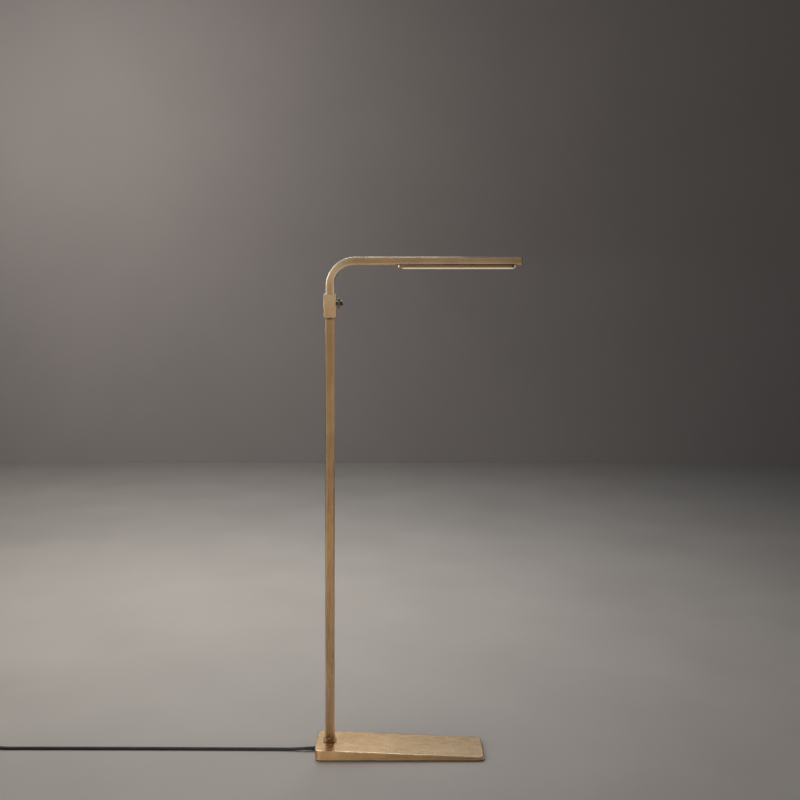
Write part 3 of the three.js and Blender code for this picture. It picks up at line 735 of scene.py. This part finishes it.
def build_thumb_screw():
    """A knurled disc with a neck on the collar's side and a turned hub outside. A station is (radius, place
    along the axis, depth of the knurl, wear and painted light), the first three in mm. The knurl's rims are
    rubbed; the bright neck and the hub's end are painted highlights."""
    teeth = 48
    origin = (0, 0, SCREW_HEIGHT)
    place = along_axis(origin, X_AXIS)
    stations = [
        (2.6, 9.8, 0, 0), (2.9, 10.1, 0, 0), (2.9, 12.6, 0, 0), (3.8, 12.6, 0, 0.4),
        (4.0, 12.8, 0, 1), (4.0, 15.2, 0, 0.2), (4.6, 16.0, 0, 0), (9.6, 16.0, 0, 0.1),
        (10.0, 16.15, 0, 0.9), (10.4, 16.6, 0.3, 0.9), (10.5, 17.0, 0.45, 0.5), (10.5, 18.8, 0.45, 0.5),
        (10.4, 19.2, 0.3, 0.9), (10.0, 19.65, 0, 0.9), (9.6, 19.8, 0, 0.1), (5.6, 19.8, 0, 0),
        (5.1, 20.2, 0, 0), (4.9, 20.8, 0, 0), (4.9, 24.2, 0, 0), (4.6, 25.0, 0, 0.4),
        (3.9, 25.7, 0, 0.3), (2.8, 26.0, 0, 0), (1.0, 26.0, 0, 0),
    ]
    rings = []
    for radius, height, knurl, wear_and_painted_light in stations:
        tips = circle(radius * MM, 2 * teeth)
        valleys = circle((radius - knurl) * MM, 2 * teeth)
        outline = [tips[i] if i % 2 == 0 else valleys[i] for i in range(2 * teeth)]
        rings.append(level(outline, height * MM, wear_and_painted_light))
    screw = loft("thumb_wheel", rings, place=place)
    brush_round(screw, origin, X_AXIS)
    return dress(screw, bronze, "bronze", "thumb_screw", "thumb_screw", sharp=50)


# ---------------------------------------------------------------- arm

BEND_CENTRE = Vector((ARM_BEND, 0, ARM_HEIGHT - ARM_BEND))
UPRIGHT = BEND_CENTRE.z - arm_low.z
BEND_LENGTH = ARM_BEND * math.pi / 2


def arm_ring(outline, distance, wear_and_painted_light=0.0):
    """A ring of the arm's section, this far along its centreline from the lower end."""
    points = []
    for across, y in outline:
        if distance <= UPRIGHT:
            point = Vector((across, y, arm_low.z + distance))
        elif distance < UPRIGHT + BEND_LENGTH:
            turn = math.pi - (distance - UPRIGHT) / ARM_BEND
            reach = ARM_BEND - across
            point = BEND_CENTRE + Vector((reach * math.cos(turn), y, reach * math.sin(turn)))
        else:
            x = BEND_CENTRE.x + distance - UPRIGHT - BEND_LENGTH
            point = Vector((x, y, ARM_HEIGHT - across))
        points.append(point)
    return points, wear_and_painted_light


def arm_grain(p):
    """Where a point is along the arm's centreline, across it in the arm's plane, and sideways."""
    if p.z <= BEND_CENTRE.z:
        return Vector((p.z, p.x, p.y))
    if p.x >= BEND_CENTRE.x:
        return Vector((BEND_CENTRE.z + BEND_LENGTH + p.x - BEND_CENTRE.x, ARM_HEIGHT - p.z, p.y))
    reach = p - BEND_CENTRE
    turn = math.atan2(reach.x, reach.z) + math.pi / 2
    across = ARM_BEND - math.hypot(reach.x, reach.z)
    return Vector((BEND_CENTRE.z + ARM_BEND * turn, across, p.y))


def arm_lay(p):
    """The direction of the arm's centreline at a point."""
    if p.z <= BEND_CENTRE.z:
        return Z_AXIS
    if p.x >= BEND_CENTRE.x:
        return X_AXIS
    reach = p - BEND_CENTRE
    return Vector((reach.z, 0, -reach.x)).normalized()


def build_arm():
    """The arm's tube, with a painted highlight round the bend, and painted shade underneath where the head
    covers it.
    """
    whole = UPRIGHT + BEND_LENGTH + arm_high.x - BEND_CENTRE.x
    break_edge = 0.2 * MM
    outer = rounded_square(ARM_SIZE, TUBE_CORNER)
    inner = rounded_square(ARM_SIZE - 2 * ARM_WALL, TUBE_CORNER - ARM_WALL)
    deburred = rounded_square(ARM_SIZE - 2 * break_edge, TUBE_CORNER - break_edge)
    rubbed_and_highlit = square_wear_and_light(0.85)
    corner_points = SQUARE_STEPS + 3
    # from the side's flat round a lower corner to the underside's flat: a painted highlight, then painted
    # shade where the head meets the arm
    seam_highlight_and_shade = [0.2, 0.9, 1, 0.7, -0.1, -0.7, -1, -1, -1, -1, -1]
    shaded_under_head = [*seam_highlight_and_shade, *reversed(seam_highlight_and_shade), *rubbed_and_highlit[2 * corner_points:]]
    bend = spread(UPRIGHT, UPRIGHT + BEND_LENGTH, 41)
    head_start = UPRIGHT + BEND_LENGTH + head_low.x - BEND_CENTRE.x
    head_end = UPRIGHT + BEND_LENGTH + head_high.x - BEND_CENTRE.x
    rings = [arm_ring(deburred, 0), arm_ring(outer, break_edge, rubbed_and_highlit)]
    # a painted highlight round the bend
    for distance in bend:
        bend_highlight = 0.4 * math.sin(math.pi * (distance - UPRIGHT) / BEND_LENGTH)
        rings.append(arm_ring(outer, distance, [min(amount + bend_highlight, 1) for amount in rubbed_and_highlit]))
    rings += [
        arm_ring(outer, head_start - 2 * MM, rubbed_and_highlit), arm_ring(outer, head_start + 4 * MM, shaded_under_head),
        arm_ring(outer, head_end - 3 * MM, shaded_under_head), arm_ring(outer, head_end + 2 * MM, rubbed_and_highlit),
        arm_ring(outer, whole - break_edge, rubbed_and_highlit), arm_ring(deburred, whole),
    ]
    rings += [arm_ring(inner, distance) for distance in [whole, *reversed(bend), 0]]
    arm = loft("arm", rings, closed=True)
    cut(arm, *[rod(radius, (x, 0, ARM_HEIGHT - 12 * MM), Z_AXIS, 10 * MM) for x, radius in HEAD_HOLES])
    brush(arm, arm_grain, arm_lay)
    return dress(arm, brass, "brass", "arm", "arm_tube")


def build_end_cap():
    """The plate that closes the arm's tip, with a plug inside the tube and a hole for the button."""
    edge = 0.4 * MM
    tip = arm_high.x
    place = along_axis((tip, 0, ARM_HEIGHT), X_AXIS)
    plug = rounded_square(ARM_SIZE - 2 * ARM_WALL - 2 * GAP, 0.8 * MM)
    hole = circle_like(plug, 4.7 * MM)
    room = circle_like(plug, 5.6 * MM)

    def plate(inset):
        return rounded_square(ARM_SIZE - 2 * inset, TUBE_CORNER - inset)

    back, ledge, face = -11.7 * MM, -2.7 * MM, 2.3 * MM
    rings = [
        level(room, back),
        level(plug, back),
        level(plug, GAP),
        level(plate(0.1 * MM), GAP),
        level(plate(0), GAP + 0.1 * MM),
    ]
    rings += [level(plate(inset), face - drop, 0.5) for inset, drop in rounding(edge)]
    rings += [
        level(plate(1.2 * MM), face),
        level(hole, face),
        level(hole, ledge),
        level(room, ledge),
    ]
    cap = loft("arm_tip", rings, closed=True, place=place)
    brush(cap, lambda p: Vector((p.y, p.x, p.z)), lambda p: Y_AXIS)
    return dress(cap, bronze, "bronze", "arm", "arm_end_cap")


def build_button():
    """A turned key with a dished face and a flange behind the cap. The profile's sizes are in mm."""
    origin = (arm_high.x, 0, ARM_HEIGHT)
    profile = [
        (5.0, -5.3, 0), (5.2, -5.1, 0), (5.2, -3.4, 0), (5.1, -3.3, 0), (4.4, -3.3, 0), (4.4, 2.5, 0.3),
        (4.28, 2.85, 1), (4.0, 3.05, 1), (3.6, 3.1, 0.4), (3.0, 2.95, 0), (1.6, 2.75, 0), (0.4, 2.7, 0),
    ]
    rings = [(radius * MM, height * MM, wear_and_painted_light) for radius, height, wear_and_painted_light in profile]
    button = turned("dimmer_key", rings, along_axis(origin, X_AXIS))
    brush_round(button, origin, X_AXIS)
    return dress(button, bronze, "bronze", "dimmer_button", "dimmer_button")


# ---------------------------------------------------------------- LED head


def head_plan(inset, low=None, high=None):
    """The head's outline, drawn in by inset; low and high are other ends along x."""
    corner = max(HEAD_CORNER - inset, 0.6 * MM)
    x0 = head_low.x + inset if low is None else low
    x1 = head_high.x - inset if high is None else high
    return rounded_rectangle(x0, x1, head_low.y + inset, head_high.y - inset, corner, 10)


def build_head():
    """A shallow tray, open below, with painted shade on its corners and its top edge."""
    edge = 0.7 * MM
    lip = 1 * MM
    support = 1 * MM
    strip_end = diffuser_low.x - 0.5 * MM
    opening = head_plan(HEAD_WALL + 0.3 * MM, low=strip_end)
    cavity = head_plan(HEAD_WALL)
    ends = (head_low.x + HEAD_CORNER, head_high.x - HEAD_CORNER)
    # painted shade on the round corners at the tray's ends
    corners = [0 if ends[0] < x < ends[1] else -0.5 for x, y in head_plan(0)]
    rings = [
        level(cavity, head_high.z - HEAD_PLATE),
        level(cavity, head_low.z + lip),
        level(opening, head_low.z + lip),
        level(opening, head_low.z),
    ]
    rings += [level(head_plan(inset), head_low.z + drop, 0.25) for inset, drop in reversed(rounding(edge))]
    rings.append(level(head_plan(0), head_low.z + edge + support, corners))
    rings.append(level(head_plan(0), head_high.z - edge - support, corners))
    rings += [level(head_plan(inset), head_high.z - drop, -0.5) for inset, drop in rounding(edge)]
    rings.append(level(head_plan(edge + support), head_high.z, -0.5))
    head = loft("head", rings)
    cut(head, *[rod(radius, (x, 0, head_high.z - 3 * MM), Z_AXIS, 5 * MM) for x, radius in HEAD_HOLES])
    brush_x(head)
    return dress(head, brass, "brass", "arm", "led_housing")


def build_diffuser():
    """A slab under the tray with a thinner core that goes up inside it."""
    slab_top = head_low.z - GAP
    width = diffuser_high.y
    corner = HEAD_CORNER - 1.3 * MM

    def plan(inset):
        x0, x1 = diffuser_low.x + inset, diffuser_high.x - inset
        return rounded_rectangle(x0, x1, -width + inset, width - inset, corner - inset, 10)

    rings = [level(plan(6 * MM), diffuser_low.z)]
    rings += [level(plan(inset), diffuser_low.z + drop) for inset, drop in reversed(rounding(0.6 * MM))]
    rings += [level(plan(inset), slab_top - drop) for inset, drop in rounding(0.2 * MM)]
    rings += [level(plan(1.7 * MM), slab_top), level(plan(1.7 * MM), diffuser_high.z)]
    return dress(loft("light_panel", rings), opal, "diffuser", "arm", "diffuser")


# ---------------------------------------------------------------- mains plug and tie


def frame_at(origin, first, second, third):
    """A matrix whose axes are three unit vectors."""
    turn = Matrix((first, second, third)).transposed().to_4x4()
    return Matrix.Translation(origin) @ turn


def build_plug():
    """A moulded two-pin plug with a ribbed neck. A section is (half width, half height, corner, place along
    the plug) in mm."""
    left = Z_AXIS.cross(plug_heading)
    place = frame_at(plug_place, left, Z_AXIS, plug_heading)
    sections = []
    relief_start, relief_end = 2.0, 16.0
    grooves = 4
    for i in range(grooves):
        for part, depth in ((0.0, 0), (0.55, 0), (0.65, 0.45), (0.9, 0.45)):
            height = relief_start + (i + part) * (relief_end - relief_start) / grooves
            radius = 3.9 + 1.0 * (height - relief_start) / (relief_end - relief_start) - depth
            sections.append((radius, radius, 0.98 * radius, height))
    sections += [
        (5.2, 5.2, 5.0, 16.0), (6.3, 5.9, 5.0, 18.0), (9.2, 6.9, 4.8, 21.0), (11.8, 7.3, 4.4, 23.8),
        (12.8, 7.5, 4.2, 27.0), (12.7, 7.5, 4.2, 34.0), (13.0, 7.5, 4.2, 41.0), (13.0, 7.5, 4.2, 44.6),
        (12.8, 7.3, 4.0, 45.4), (12.3, 6.8, 3.5, 45.9), (11.4, 5.9, 2.6, 46.0),
    ]
    rings = []
    for wide, tall, corner, height in sections:
        outline = rounded_rectangle(-wide * MM, wide * MM, -tall * MM, tall * MM, corner * MM, 8)
        rings.append(level(outline, height * MM))
    plug = loft("mains_plug", rings, place=place)
    pockets = []
    pins = []
    pin_offset = 6.35 * MM
    blade = frame_at(plug_place, plug_heading, Z_AXIS, -left)
    for number, across in ((1, -pin_offset), (2, pin_offset)):
        room = rounded_rectangle(41 * MM, 50 * MM, -3.5 * MM, 3.5 * MM, 0.3 * MM, 2)
        sides = [level(room, side * 1.1 * MM - across) for side in (-1, 1)]
        pockets.append(loft("pocket", sides, place=blade))
        rings = []
        for inset, height in ((0.25, -0.75), (0, -0.5), (0, 0.5), (0.25, 0.75)):
            half = (3.17 - inset) * MM
            outline = rounded_rectangle(41.3 * MM, (63.5 - inset) * MM, -half, half, (1.3 - inset) * MM)
            rings.append(level(outline, height * MM - across))
        pin = loft(f"mains_pin_{number}", rings, place=blade)
        eye = blade @ Vector((57 * MM, 0, -across - 2 * MM))
        cut(pin, rod(1.5 * MM, eye, -left, 4 * MM))
        pins.append(dress(pin, nickel, "pins", "base", f"plug_pin_{number}"))
    cut(plug, *pockets)
    return [dress(plug, rubber, "cord_black", "base", "plug_body"), *pins]


def build_tie():
    """A strap round the coil with its end folded over on top."""
    turn = math.radians(310)
    radial = Vector((math.cos(turn), math.sin(turn), 0))
    place = frame_at(COIL_CENTRE, radial, Z_AXIS, radial.cross(Z_AXIS))
    half = 4 * MM
    thick = 1 * MM
    outer = rounded_rectangle(19.3 * MM, 46.3 * MM, 0, 20.8 * MM, 4 * MM)
    inner = rounded_rectangle(20.3 * MM, 45.3 * MM, thick, 19.8 * MM, 3 * MM)
    rings = [level(inner, -half), level(outer, -half), level(outer, half), level(inner, half)]
    band = loft("cord_strap", rings, closed=True, place=place)
    flap_plan = rounded_rectangle(27 * MM, 43 * MM, -half, half, 2 * MM)
    flap_place = frame_at(COIL_CENTRE, radial, Z_AXIS.cross(radial), Z_AXIS)
    flap_bottom = 20.9 * MM
    rings = [level(flap_plan, flap_bottom), level(flap_plan, flap_bottom + thick)]
    flap = loft("cord_strap_end", rings, place=flap_place)
    return [
        dress(band, strap, "tie", "base", "cord_tie"),
        dress(flap, strap, "tie", "base"),
    ]


build_base_shell()
build_base_pad()
build_strain_relief()
build_stem()
build_ferrule()
build_collar()
build_thumb_screw()
build_arm()
build_end_cap()
build_button()
build_head()
build_diffuser()

# ---------------------------------------------------------------- mains cord


def coil_point(angle, radius, height):
    """A point over the coil's centre; angle is in degrees."""
    a = math.radians(angle)
    return COIL_CENTRE + Vector((radius * math.cos(a), radius * math.sin(a), height))


def smooth_step(share):
    """From 0 to 1 as share does, with a soft start and a soft end."""
    share = min(max(share, 0.0), 1.0)
    return share * share * (3 - 2 * share)


COIL_START = 75
COIL_TURNS = 8.25
TURNS_PER_LAYER = 2.75
STEPS_PER_TURN = 16
LAYER_RISE = 6.1 * MM
CLIMB = 60 / 360  # of a turn, from one layer to the next
TAIL = 1 / 3  # of a turn, up to the plug

LYING = CORD_RADIUS + 0.05 * MM  # height of the cord's middle on the floor

# out of the sleeve and down to the floor, then along it in a slight curve to the coil's outer turn
cord_points = [
    Vector((-45 * MM, 0, EXIT[2])),
    Vector((-50.3 * MM, 0, EXIT[2])),
    Vector((-62 * MM, 0.6 * MM, 4.4 * MM)),
    Vector((-80 * MM, 1.6 * MM, 3.3 * MM)),
]
for share in spread(0, 1, 14):
    drift = 2.4 * MM + 4.2 * MM * math.sin(share * math.pi / 2)
    cord_points.append(Vector((-100 * MM - 520 * MM * share, drift, LYING)))
cord_points += [
    Vector((-655 * MM, 7.2 * MM, LYING)),
    Vector((-676 * MM, 11 * MM, LYING)),
    Vector((-694 * MM, 15.8 * MM, LYING + 0.6 * MM)),
]
for step in range(round(COIL_TURNS * STEPS_PER_TURN) + 1):
    turn = step / STEPS_PER_TURN
    layer = min(int(turn / TURNS_PER_LAYER), 2)
    share = (turn - layer * TURNS_PER_LAYER) / TURNS_PER_LAYER
    inward = share if layer != 1 else 1 - share
    radius = COIL_WIDE + (COIL_NARROW - COIL_WIDE) * inward
    climbed = 0 if layer == 0 else smooth_step((turn - layer * TURNS_PER_LAYER) / CLIMB) - 1
    height = 4.3 * MM + LAYER_RISE * (layer + climbed)
    left = COIL_TURNS - turn
    if left < TAIL:
        height += (PLUG_HEIGHT - height) * smooth_step((TAIL - left) / TAIL * 1.15)
    cord_points.append(coil_point(COIL_START + 360 * turn, radius, height))
plug_place = coil_point(COIL_START + 360 * COIL_TURNS, COIL_NARROW, PLUG_HEIGHT)
plug_turn = math.radians(COIL_START + 360 * COIL_TURNS + 90)
plug_heading = Vector((math.cos(plug_turn), math.sin(plug_turn), 0))
cord_points.append(plug_place + plug_heading * 6 * MM)

cord_curve = bpy.data.curves.new("cord", "CURVE")
cord_curve.dimensions = "3D"
cord_curve.bevel_depth = CORD_RADIUS
cord_curve.bevel_resolution = 5
cord_curve.resolution_u = 6
cord_curve.use_fill_caps = True
spline = cord_curve.splines.new("BEZIER")
spline.bezier_points.add(len(cord_points) - 1)
for knot, point in zip(spline.bezier_points, cord_points):
    knot.co = point
    knot.handle_left_type = "AUTO"
    knot.handle_right_type = "AUTO"
cord = bpy.data.objects.new("mains_cord", cord_curve)
bpy.context.scene.collection.objects.link(cord)
dress(cord, cord_sheath, "cord_black", "base", "cord", "cord_coil", "cord_tail")
build_plug()
build_tie()

# ---------------------------------------------------------------- room and light


def sheet(name, corners, material):
    """A flat four-cornered surface of the room."""
    mesh = bpy.data.meshes.new(name)
    shape = bmesh.new()
    shape.faces.new([shape.verts.new(corner) for corner in corners])
    shape.to_mesh(mesh)
    shape.free()
    mesh.materials.append(material)
    surface = bpy.data.objects.new(name, mesh)
    bpy.context.scene.collection.objects.link(surface)


def plaster(name, dark, light, size, rough):
    g = Graph(name)
    cloud = g.noise(g.place(), size, 5.0, 0.6)
    colour = g.blend(cloud, dark, light)
    return g.set(Base_Color=colour, Roughness=g.vary(cloud, rough, rough + 0.1))


ROOM = 9  # from the lamp to the floor's other edges
WALL = 3.66  # from the lamp to the wall behind it
floor_finish = plaster("floor_finish", (0.31, 0.28, 0.255, 1), (0.34, 0.31, 0.283, 1), 3.0, 0.55)
wall_finish = plaster("wall_finish", (0.27, 0.245, 0.235, 1), (0.30, 0.27, 0.258, 1), 1.2, 0.85)
sheet("floor", [(-ROOM, -ROOM, 0), (ROOM, -ROOM, 0), (ROOM, WALL, 0), (-ROOM, WALL, 0)], floor_finish)
sheet("wall", [(-ROOM, WALL, 0), (ROOM, WALL, 0), (ROOM, WALL, ROOM), (-ROOM, WALL, ROOM)], wall_finish)


def softbox(name, place, target, width, height, power, colour, beam=180):
    """A rectangular light that faces target. beam is the angle it spreads over, in degrees."""
    light = bpy.data.objects.new(name, bpy.data.lights.new(name, "AREA"))
    light.data.shape = "RECTANGLE"
    light.data.size = width
    light.data.size_y = height
    light.data.energy = power
    light.data.color = colour
    light.data.spread = math.radians(beam)
    light.visible_camera = False
    light.location = place
    light.rotation_euler = (Vector(target) - Vector(place)).to_track_quat("-Z", "Y").to_euler()
    bpy.context.scene.collection.objects.link(light)


WARM = (1.0, 0.97, 0.93)
SOFT = (1.0, 0.98, 0.95)
COOL = (0.76, 0.88, 1.0)
softbox("key", (-2.2, -1.5, 2.4), (0.0, 0, 0.8), 1.3, 1.3, 22, WARM)
softbox("ceiling", (-0.6, 1.2, 2.3), (-0.6, 1.2, 0.0), 1.8, 1.4, 24, SOFT, 110)
softbox("back", (0.1, 3.0, 2.1), (0.1, 0, 0.0), 2.6, 0.8, 14.5, COOL)
softbox("front", (-0.6, -4.2, 0.75), (0.1, 0, 0.6), 3.2, 1.4, 7.6, WARM)
softbox("front_floor", (-0.5, -2.0, 1.5), (-0.5, -2.0, 0), 1.6, 1.7, 17, SOFT, 76)
softbox("front_kick", (-0.6, -1.5, 0.25), (-0.05, 0, 0.02), 0.5, 0.2, 0.2, WARM, 26)
softbox("left", (-2.4, -0.3, 1.4), (0, 0, 1.0), 1.2, 1.2, 3, SOFT, 60)
softbox("right", (2.4, 0.2, 0.95), (0, 0, 0.5), 2.0, 1.5, 3.2, SOFT, 80)
softbox("wall_wash", (-1.6, 1.6, 1.9), (-1.6, 3.66, 1.9), 1.2, 1.2, 23, WARM, 150)

world = bpy.data.worlds.new("room")
world.use_nodes = True
world.node_tree.nodes["Background"].inputs["Color"].default_value = (0.8, 0.82, 0.86, 1)
world.node_tree.nodes["Background"].inputs["Strength"].default_value = 0.13
bpy.context.scene.world = world
bpy.context.scene.view_settings.view_transform = "Standard"
